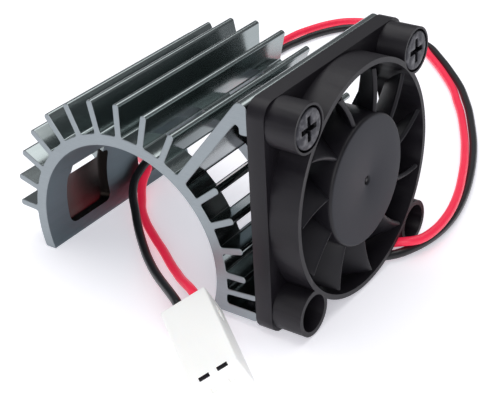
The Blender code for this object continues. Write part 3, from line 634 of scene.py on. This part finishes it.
def makeBlade():
    # a flat grid curved into one swept blade, then given its thickness
    bm = bmesh.new()
    rows, columns = 9, 11
    root = impeller["hub"] - impeller["rootInHub"]
    made = bmesh.ops.create_grid(bm, x_segments=rows, y_segments=columns, size=0.5)
    for vert in made["verts"]:
        reach, along = vert.co.x + 0.5, vert.co.y + 0.5
        radius = root + (impeller["tip"] - root) * reach
        turn = impeller["rootTurn"] + impeller["sweep"] * reach ** 1.3 - impeller["twist"] * along
        turn = math.radians(turn + impeller["bow"] * along * (1.0 - along))
        depth = impeller["bladeStart"] + impeller["bladeDepth"] * along
        vert.co = Vector((-depth, radius * math.cos(turn), radius * math.sin(turn))) * mm
    obj = newObject("blade", bm)
    thick = obj.modifiers.new("thick", "SOLIDIFY")
    thick.thickness = impeller["bladeThick"] * mm
    thick.offset = 0.0
    edge = obj.modifiers.new("edge", "BEVEL")
    edge.width = impeller["bladeEdge"] * mm
    edge.segments = 2
    edge.limit_method = "ANGLE"
    edge.angle_limit = math.radians(60.0)
    return freeze(obj)


def makeImpeller(finish, faceFinish):
    obj = turnedShape("impellerHub", impeller["profile"])
    blade = makeBlade()
    joined = bmesh.new()
    joined.from_mesh(obj.data)
    for face in joined.faces:
        if face.calc_center_median().x > (fanFace + 0.2) * mm:
            face.material_index = 1  # the hub's flat front
    for number in range(impeller["blades"]):
        extra = bmesh.new()
        extra.from_mesh(blade.data)
        place = Matrix.Translation((fanFace * mm, 0.0, fanHeight * mm))
        turn = turnAbout("X", impeller["bladeTurn"] + 360.0 * number / impeller["blades"])
        bmesh.ops.transform(extra, verts=extra.verts[:], matrix=place @ turn)
        bmesh.ops.recalc_face_normals(extra, faces=extra.faces)
        copy = bpy.data.meshes.new("bladeCopy")
        extra.to_mesh(copy)
        extra.free()
        joined.from_mesh(copy)
        bpy.data.meshes.remove(copy)
    bpy.data.objects.remove(blade)
    joined.to_mesh(obj.data)
    joined.free()
    return present(obj, rotor, (finish, faceFinish), "impeller", angle=38.0)


# each head is (radius, depth under its top), and the cross is (half length, half width, depth)
screws = {
    "shank": 1.1, "threadDepth": 0.16, "threadPitch": 0.8, "edge": 0.05,
    "upper": {"top": fanFace, "tip": 17.9, "cross": (2.0, 0.42, 0.9),
              "head": [(0.0, 0.0), (2.9, 0.0), (3.15, 0.06), (3.25, 0.2), (3.25, 0.9), (2.9, 1.2),
                       (1.1, 1.2)]},
    "lower": {"top": 25.45, "tip": 16.0, "cross": (1.5, 0.38, 1.0),
              "head": [(0.0, 0.0), (1.2, 0.03), (1.9, 0.2), (2.45, 0.55), (2.7, 1.0), (2.7, 1.6),
                       (1.1, 1.6)]},
}


def makeScrew(name, y, z, upper):
    kind = screws["upper" if upper else "lower"]
    top, head = kind["top"], kind["head"]
    long, short, depth = kind["cross"]
    shank, pitch = screws["shank"], screws["threadPitch"]
    core = shank - screws["threadDepth"]
    length = top - kind["tip"]
    profile = list(head)
    for i in range(int((length - head[-1][1] - 1.6) / pitch)):
        at = head[-1][1] + 0.5 + i * pitch
        profile += [(core, at), (core, at + 0.3), (shank, at + 0.4), (shank, at + 0.48)]
    profile += [(core, length - 0.7), (0.3, length), (0.0, length)]
    obj = turnedShape(name, profile, 40, (top, y, z))
    cross = brick("slotA", (top - depth, y - long, z - short), (top + 0.5, y + long, z + short))
    other = brick("slotB", (top - depth, y - short, z - long), (top + 0.5, y + short, z + long))
    carve(cross, [other], "UNION")
    carve(obj, [cross])
    return softenEdges(obj, screws["edge"], 40.0)


plug = {"size": (16.6, 7.9, 6.4), "rear": (14.5, -28.5, 6.72), "yaw": -37.6, "tilt": 7.1, "roll": 26.2,
        "waySpacing": 3.0, "way": (1.15, 1.3), "wayEnd": 3.2, "mouth": 0.45, "slit": (0.5, 0.85, 0.35),
        "edge": 0.3, "cutEdge": 0.08}


def plugPlace():
    place = Matrix.Translation(Vector(plug["rear"]) * mm)
    return place @ turnAbout("Z", plug["yaw"]) @ turnAbout("Y", plug["tilt"]) @ turnAbout("X", plug["roll"])


def makePlug(finish, shade):
    length, width, height = plug["size"]
    # made along X from the end that the leads enter, and placed last
    body = brick("plugShell", (0.0, -0.5 * width, -0.5 * height), (length, 0.5 * width, 0.5 * height),
                 edge=plug["edge"])
    tools = []
    across, up = plug["way"]
    mouth = plug["mouth"]
    back, wide, deep = plug["slit"]
    for side in (-0.5 * plug["waySpacing"], 0.5 * plug["waySpacing"]):
        tools.append(brick("way", (-1.0, side - across, -up), (length - plug["wayEnd"], side + across, up)))
        tools.append(brick("mouth", (length - 4.0, side - mouth, -mouth), (length + 1.0, side + mouth, mouth)))
        slit = brick("slit", (length - back, side - wide, 0.5 * height - deep),
                     (length + 1.0, side + wide, 0.5 * height + 1.0))
        for face in slit.data.polygons:
            face.material_index = 1  # painted shade: the slit's inside gets the black finish
        tools.append(slit)
    for side in (-0.5 * width, 0.5 * width):
        tools.append(brick("notch", (2.4, side - 0.5, -0.7), (5.0, side + 0.5, 0.9)))
    carve(body, tools)
    softenEdges(body, plug["cutEdge"], 50.0)
    body.data.transform(plugPlace())
    return present(body, housing, (finish, shade), "plug_housing")


# each light is its name, place, aim, size and power
studio = {
    "sky": 0.22, "skyColour": (0.94, 0.96, 1.0, 1.0),
    "lights": (("topLight", (-0.1, 0.15, 0.75), (0.0, 0.02, 0.0), 0.9, 4.6),
               ("frontLight", (0.35, -0.7, 0.45), (0.0, 0.0, 0.02), 0.5, 2.4)),
    "floorGlow": 0.44, "floorHalf": 1.5, "footLift": 1.5, "footAway": 43.8,
}


def setStudio():
    bpy.context.scene.view_settings.view_transform = "Standard"
    world = bpy.data.worlds.new("softRoom")
    bpy.context.scene.world = world
    world.use_nodes = True
    back = world.node_tree.nodes["Background"]
    back.inputs["Color"].default_value = studio["skyColour"]
    back.inputs["Strength"].default_value = studio["sky"]
    for name, place, aim, size, power in studio["lights"]:
        data = bpy.data.lights.new(name, "AREA")
        data.shape = "SQUARE"
        data.size = size
        data.energy = power
        obj = bpy.data.objects.new(name, data)
        bpy.context.scene.collection.objects.link(obj)
        obj.location = place
        obj.rotation_euler = (Vector(place) - Vector(aim)).to_track_quat("Z", "Y").to_euler()
    bm = bmesh.new()
    made = bmesh.ops.create_grid(bm, x_segments=2, y_segments=2, size=studio["floorHalf"])
    # the part stands on the fan's lower edge and its left foot, so the floor is tilted under it
    lean = Matrix.Rotation(math.atan(studio["footLift"] / studio["footAway"]), 4, "Y")
    place = Matrix.Translation((fanBack * mm, 0.0, -0.00003))
    bmesh.ops.transform(bm, verts=made["verts"], matrix=place @ lean)
    floor = newObject("floor", bm)
    f = Finish("paperSweep")
    paper = f.blend(f.noise(900.0, 3.0), (0.90, 0.90, 0.91), (0.93, 0.93, 0.94))
    finish = f.set(colour=paper, rough=0.75, specular=0.2, glowColour=(0.93, 0.92, 1.0),
                   glow=studio["floorGlow"])
    floor.data.materials.clear()
    floor.data.materials.append(finish)


setCamera()
setStudio()
print("camera and studio ready")

# painted light: the red insulation glows in its own colour, which lifts the lead where it lies in shade
redInsulationPaintedGlow = insulation("redInsulationPaintedGlow", (0.72, 0.014, 0.05), (0.80, 0.026, 0.075), 0.32, 0.44)
blackInsulation = insulation("blackInsulation", (0.008, 0.008, 0.010), (0.016, 0.016, 0.018), 0.30)
redLead, redLength = makeLead("redLead", "red", redInsulationPaintedGlow)
blackLead, blackLength = makeLead("blackLead", "black", blackInsulation)
print("leads ready", round(redLength), round(blackLength))

skin = anodised("anodisedSkin", (0.27, 0.31, 0.31), (0.38, 0.42, 0.42), 0.10, 0.05)
# painted shade: the bore's anodising is made darker than the outside skin, for the dark of the inner wall
bore = anodised("anodisedBorePaintedShade", (0.14, 0.185, 0.205), (0.20, 0.25, 0.275), 0.40, 0.15)
cut = sawnMetal()
blackPlastic = mouldedPlastic("blackMoulding", (0.006, 0.005, 0.008), (0.012, 0.010, 0.014), 0.38)
hubPlastic = mouldedPlastic("hubFace", (0.016, 0.017, 0.024), (0.024, 0.025, 0.034), 0.50, 0.5)
bladePlastic = mouldedPlastic("bladeMoulding", (0.006, 0.005, 0.008), (0.011, 0.010, 0.014), 0.36)
steelBlack = coatedSteel()
# painted shade: a dark brownish metal in the pocket, standing in for the dark seen in that hollow
pocket = plainMetal("pocketPaintedShade", (0.05, 0.05, 0.05), (0.13, 0.11, 0.10), 0.18)

makeHeatSink(skin, cut, pocket, bore)
print("heat sink ready")
makeFanFrame(blackPlastic)
makeImpeller(bladePlastic, hubPlastic)
print("fan ready")
for word, (y, z, upper) in screwPlaces.items():
    screw = makeScrew("screw" + word.title().replace("_", ""), y, z, upper)
    present(screw, housing, (steelBlack,), "screw_" + word)
print("screws ready")
plugShell = makePlug(nylon(), blackPlastic)
print("plug ready")

steel = plainMetal("groundSteel", (0.45, 0.45, 0.46), (0.62, 0.62, 0.63), 0.22)
insideFinishes = {
    "rotor_yoke": steel, "shaft": steel, "front_bearing": steel, "rear_bearing": steel,
    "retaining_clip": steel,
    "magnet_ring": mouldedPlastic("sinteredMagnet", (0.03, 0.03, 0.03), (0.06, 0.06, 0.06), 0.6),
    "bearing_spacer": plainMetal("turnedBrass", (0.60, 0.42, 0.16), (0.72, 0.54, 0.24), 0.25),
    "stator_core": plainMetal("stackedPlates", (0.22, 0.22, 0.23), (0.36, 0.36, 0.37), 0.4),
    "circuit_board": boardGreen(),
    "driver_chip": mouldedPlastic("chipMoulding", (0.015, 0.015, 0.015), (0.03, 0.03, 0.03), 0.45),
    "back_label": mouldedPlastic("blankLabel", (0.48, 0.48, 0.48), (0.56, 0.56, 0.56), 0.5, 0.05),
    "contact_red": plainMetal("tinnedContact", (0.58, 0.56, 0.52), (0.70, 0.68, 0.62), 0.3),
}
insideFinishes["contact_black"] = insideFinishes["contact_red"]
copper = copperTurns()
for side in ("top", "back", "bottom", "front"):
    insideFinishes["winding_" + side] = copper
for node, finish in insideFinishes.items():
    slots = bpy.data.objects[node].data.materials
    slots.clear()
    slots.append(finish)
print("inner parts ready")

redLength * mm
blackLength * mm
